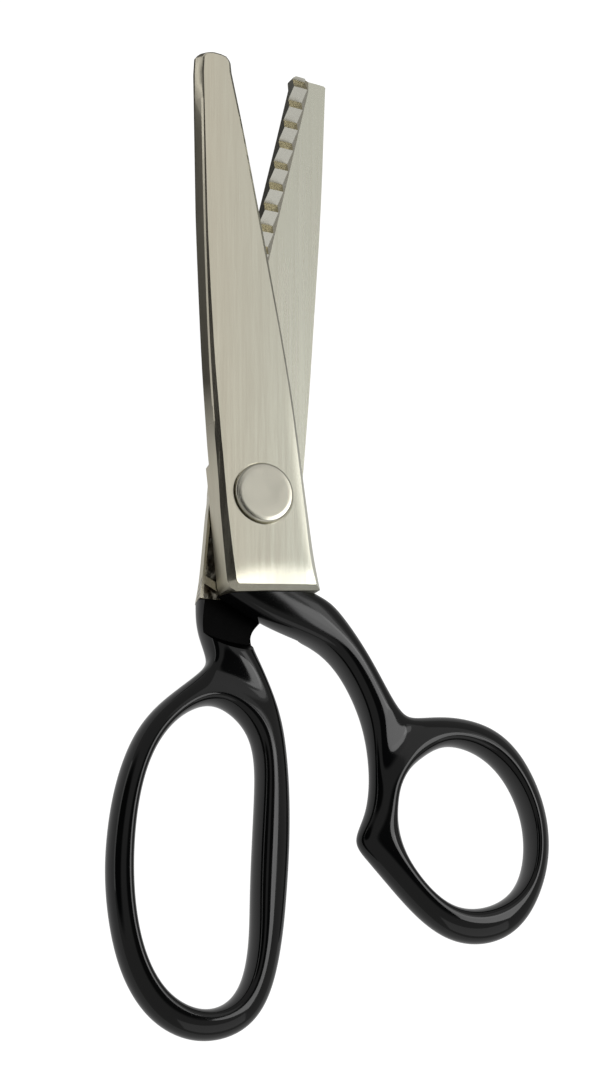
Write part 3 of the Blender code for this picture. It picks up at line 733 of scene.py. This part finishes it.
def blade_from_frame(node, name, side, materials):
    """The frame's blade with its outer edges polished, and its pockets rough as forged."""
    bm = frame_mesh(node)
    bmesh.ops.dissolve_limit(bm, angle_limit=math.radians(FLATTEN_BELOW), verts=bm.verts,
                             edges=bm.edges)
    facets = round_edges(bm, side, SHOULDER_ROUND, 1, True) if side > 0.0 else []
    round_edges(bm, side, CREST_ROUND, CREST_SEGMENTS, False)
    facets = [face for face in facets if face.is_valid]
    if side < 0.0:
        roughen_pockets(bm)
    mark_edges(bm, facets)
    for face in bm.faces:
        face.material_index = blade_zone(face, side)
    obj = new_object(name, bm, materials, 1.0)
    stale = obj.data.attributes.get("custom_normal")
    if stale:
        obj.data.attributes.remove(stale)
    weigh_normals(obj)
    return bake(obj)


def revolve(name, profile, materials=()):
    """Turn a profile of radius and height, which starts and ends on the pivot axis."""
    bm = bmesh.new()
    ends = [bm.verts.new((0.0, 0.0, profile[0][1])), bm.verts.new((0.0, 0.0, profile[-1][1]))]
    rows = []
    for radius, height in profile[1:-1]:
        row = []
        for step in range(ROUND_STEPS):
            angle = 2.0 * math.pi * step / ROUND_STEPS
            row.append(bm.verts.new((radius * math.cos(angle), radius * math.sin(angle), height)))
        rows.append(row)
    for i in range(ROUND_STEPS):
        j = (i + 1) % ROUND_STEPS
        bm.faces.new((ends[0], rows[0][i], rows[0][j]))
        bm.faces.new((ends[1], rows[-1][j], rows[-1][i]))
        for here, there in zip(rows, rows[1:]):
            bm.faces.new((here[i], there[i], there[j], here[j]))
    return new_object(name, bm, materials)


def head_profile(low):
    """The screw's rounded head, from its middle over the rim to its underside at low."""
    profile = [(radius, HEAD_TOP - dip) for radius, dip in HEAD_DIP]
    profile.append((HEAD_RADIUS - HEAD_FLAT, HEAD_TOP))
    for step in range(1, RIM_STEPS + 1):
        angle = math.radians(90.0 / RIM_STEPS * step)
        profile.append((HEAD_RADIUS - RIM_WIDTH + RIM_WIDTH * math.sin(angle),
                        HEAD_TOP - RIM_DROP + RIM_DROP * math.cos(angle)))
    profile.append((HEAD_RADIUS, low + HEAD_CHAMFER))
    profile.append((HEAD_RADIUS - HEAD_CHAMFER, low))
    return profile


def shank_profile(low):
    """The screw's shank from the head's underside, its thread and the turning centre."""
    profile = [(SCREW_RADIUS, low)]
    for turn in range(THREAD_TURNS):
        height = THREAD_TOP - THREAD_PITCH * turn
        profile.append((SCREW_RADIUS, height))
        profile.append((SCREW_RADIUS - THREAD_DEPTH, height - THREAD_PITCH / 2.0))
    return profile + [(SCREW_RADIUS - END_CHAMFER, 0.0), (CENTRE_RADIUS, 0.0), (0.0, CENTRE_DEPTH)]


def make_screw(finish):
    """The screw with a rounded head, a threaded end and a turning centre."""
    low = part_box("head_washer")[1].z / MM + GAP
    screw = revolve("pivot_screw_turned", head_profile(low) + shank_profile(low), [finish])
    smooth(screw, TURNED_SHARP)
    wear(screw, "pivot_screw", "lower_half")


def make_nut(finish):
    """The lock nut, its corners turned off on both faces and its bore countersunk."""
    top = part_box("lock_nut")[1]
    high = top.z / MM
    flat, corner = sorted((top.x / MM, top.y / MM))
    flat -= NUT_FACE_IN
    corner += CUT_PAST
    barrel = revolve("nut_barrel", [
        (0.0, -CUTTER_SKIN), (flat, -CUTTER_SKIN), (corner, NUT_CORNER_DROP),
        (corner, high - NUT_CORNER_DROP), (flat, high + CUTTER_SKIN), (0.0, high + CUTTER_SKIN)])
    sink = NUT_BORE + NUT_COUNTERSINK
    bore = revolve("nut_bore", [
        (0.0, -CUT_PAST), (sink, -CUT_PAST), (NUT_BORE, NUT_SINK_DEPTH),
        (NUT_BORE, high - NUT_SINK_DEPTH), (sink, high + CUT_PAST), (0.0, high + CUT_PAST)])
    nut = new_object("lock_nut_turned", frame_mesh("lock_nut"), [finish], 1.0)
    cut(nut, [(barrel, "INTERSECT"), (bore, "DIFFERENCE")])
    smooth(nut, TURNED_SHARP)
    wear(nut, "lock_nut", "lower_half")


def softbox(name, place, aim, width, height, radiance):
    """An area light in millimetres, with its brightness as seen in a mirror."""
    data = bpy.data.lights.new(name, "AREA")
    data.shape = "RECTANGLE"
    data.size = width * MM
    data.size_y = height * MM
    data.energy = radiance * math.pi * data.size * data.size_y
    light = bpy.data.objects.new(name, data)
    bpy.context.scene.collection.objects.link(light)
    light.location = Vector(place) * MM
    away = light.location - Vector(aim) * MM
    light.rotation_euler = away.to_track_quat("Z", "Y").to_euler()


def make_camera():
    back = Vector((-math.sin(TILT_LEFT), -math.sin(TILT_BACK), 0.0))
    back.z = math.sqrt(1.0 - back.length_squared)
    right = Vector((0.0, 1.0, 0.0)).cross(back).normalized()
    up = back.cross(right)
    data = bpy.data.cameras.new("camera")
    data.lens = LENS
    data.sensor_width = SENSOR
    data.clip_start, data.clip_end = CLIP
    camera = bpy.data.objects.new("camera", data)
    turn = Matrix((right, up, back)).transposed().to_4x4()
    camera.matrix_world = Matrix.Translation(TARGET + back * DISTANCE) @ turn
    bpy.context.scene.collection.objects.link(camera)
    bpy.context.scene.camera = camera


def painted_shadow_strips(shader):
    """Painted shadow on the floor's glow: one in the strips beside the blades, where the metal sees
    the floor dark.
    """
    x, y, _ = shader.axes()
    across = shader.maths("ABSOLUTE", shader.maths("SUBTRACT", x, STRIP_MIDDLE * MM))
    across = shader.maths("SUBTRACT", across, shader.maths("MULTIPLY", y, STRIP_SPREAD))
    beside = shader.remap(across, STRIP_EDGE[0] * MM, STRIP_EDGE[1] * MM, 1.0, 0.0)
    painted_shade_facing = shader.remap(y, STRIP_START[0] * MM, STRIP_START[1] * MM, 0.0, 1.0)
    beyond = shader.remap(y, STRIP_END[0] * MM, STRIP_END[1] * MM, 1.0, 0.0)
    return shader.maths("MULTIPLY", shader.maths("MULTIPLY", beside, painted_shade_facing), beyond)


def make_floor():
    """A white table. What the metal sees of it is dimmer, with a painted shadow close beside the
    blades.
    """
    bm = bmesh.new()
    bmesh.ops.create_grid(bm, x_segments=1, y_segments=1, size=FLOOR_HALF_SIZE)
    floor = new_object("floor", bm)
    floor.location.z = -FLOOR_SINK * MM
    shader = Shader("floor")
    # painted shadow: the glow that reflections see is dimmed in strips beside the blades
    seen = shader.remap(painted_shadow_strips(shader), 0.0, 1.0, FLOOR_GLOW, FLOOR_GLOW * STRIP_SHADE)
    camera_ray = shader.add("LightPath").outputs["Is Camera Ray"]
    speckle = shader.grain((400.0, 400.0, 400.0), 2.0)
    tint = shader.ramp(speckle, [(0.3, (0.14, 0.14, 0.138)), (0.7, (0.15, 0.15, 0.148))])
    floor.data.materials.append(shader.finish(
        Base_Color=tint, Roughness=0.9, Emission_Color=(1.0, 1.0, 1.0, 1.0),
        Emission_Strength=shader.maths("MAXIMUM", seen, camera_ray)))


def dark_zone(tree, direction, axis, inside, outside, depth):
    """One away from an axis of the sky, falling to depth round it."""
    dot = tree.nodes.new("ShaderNodeVectorMath")
    dot.operation = "DOT_PRODUCT"
    tree.links.new(direction, dot.inputs[0])
    dot.inputs[1].default_value = Vector(axis).normalized()
    fade = tree.nodes.new("ShaderNodeMapRange")
    fade.interpolation_type = "SMOOTHSTEP"
    tree.links.new(dot.outputs["Value"], fade.inputs["Value"])
    fade.inputs["From Min"].default_value = math.cos(math.radians(outside))
    fade.inputs["From Max"].default_value = math.cos(math.radians(inside))
    fade.inputs["To Min"].default_value = 1.0
    fade.inputs["To Max"].default_value = depth
    return fade.outputs["Result"]


def make_world():
    """A dim studio: dark straight above and low on the left, pale elsewhere."""
    world = bpy.data.worlds.new("studio")
    world.use_nodes = True
    bpy.context.scene.world = world
    tree = world.node_tree
    direction = tree.nodes.new("ShaderNodeTexCoord").outputs["Generated"]
    background = tree.nodes["Background"]
    background.inputs["Color"].default_value = (1.0, 0.995, 0.98, 1.0)
    level = tree.nodes.new("ShaderNodeValue").outputs[0]
    level.default_value = WORLD_LEVEL
    for zone in DARK_ZONES:
        product = tree.nodes.new("ShaderNodeMath")
        product.operation = "MULTIPLY"
        tree.links.new(level, product.inputs[0])
        tree.links.new(dark_zone(tree, direction, *zone), product.inputs[1])
        level = product.outputs[0]
    tree.links.new(level, background.inputs["Strength"])


def make_studio():
    bpy.context.scene.view_settings.view_transform = "Standard"
    make_camera()
    make_floor()
    make_world()
    for name, settings in LIGHTS.items():
        softbox(name, *settings)


def dress_handles():
    """The handles in polished lacquer, with the cut steps in its painted-shade copy, dark and flat.
    """
    lacquers = [black_lacquer(), shaded_lacquer()]
    for name, node, body, ring, shank, left, side in (
            ("upper_handle_lacquered", "upper_handle", "upper_half", THUMB_RING, UPPER_SHANK, 1, 1.0),
            ("lower_handle_lacquered", "lower_handle", "lower_half", FINGER_LOOP, LOWER_SHANK, 0,
             -1.0)):
        handle = make_handle(name, ring, shank, left, side, lacquers)
        smooth(handle, HANDLE_SHARP)
        wear(handle, node, body)


def dress_blades():
    """The blades in plate, their materials in the order of the finishes' numbers."""
    face = brushed_nickel("brushed_plate", 0.2, ACROSS, crown=True)
    inside = brushed_nickel("brushed_inside", 0.26, ACROSS)
    wall = brushed_nickel("brushed_wall", 0.14, UPRIGHT, 0.3, heel_roughness=0.42)
    teeth = ground_steel()
    forged = forged_nickel()
    for node, body, side, plate in (("upper_blade", "upper_half", 1.0, face),
                                    ("lower_blade", "lower_half", -1.0, inside)):
        blade = blade_from_frame(node, node + "_plated", side, [plate, teeth, forged, wall])
        wear(blade, node, body)


def dress_pivot():
    """The screw and nut as turned pieces, and new finishes for the frame's washers and bushing."""
    turned = turned_nickel("turned_plate", TURNED_NICKEL, 0.2)
    make_screw(turned)
    make_nut(turned)
    bronze = bearing_bronze()
    for node, finish in (("pivot_bushing", bronze), ("head_washer", bronze),
                         ("thrust_washer", bronze), ("lock_washer", turned)):
        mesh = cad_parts[node].data
        mesh.materials.clear()
        mesh.materials.append(finish)


make_studio()
dress_handles()
dress_blades()
dress_pivot()
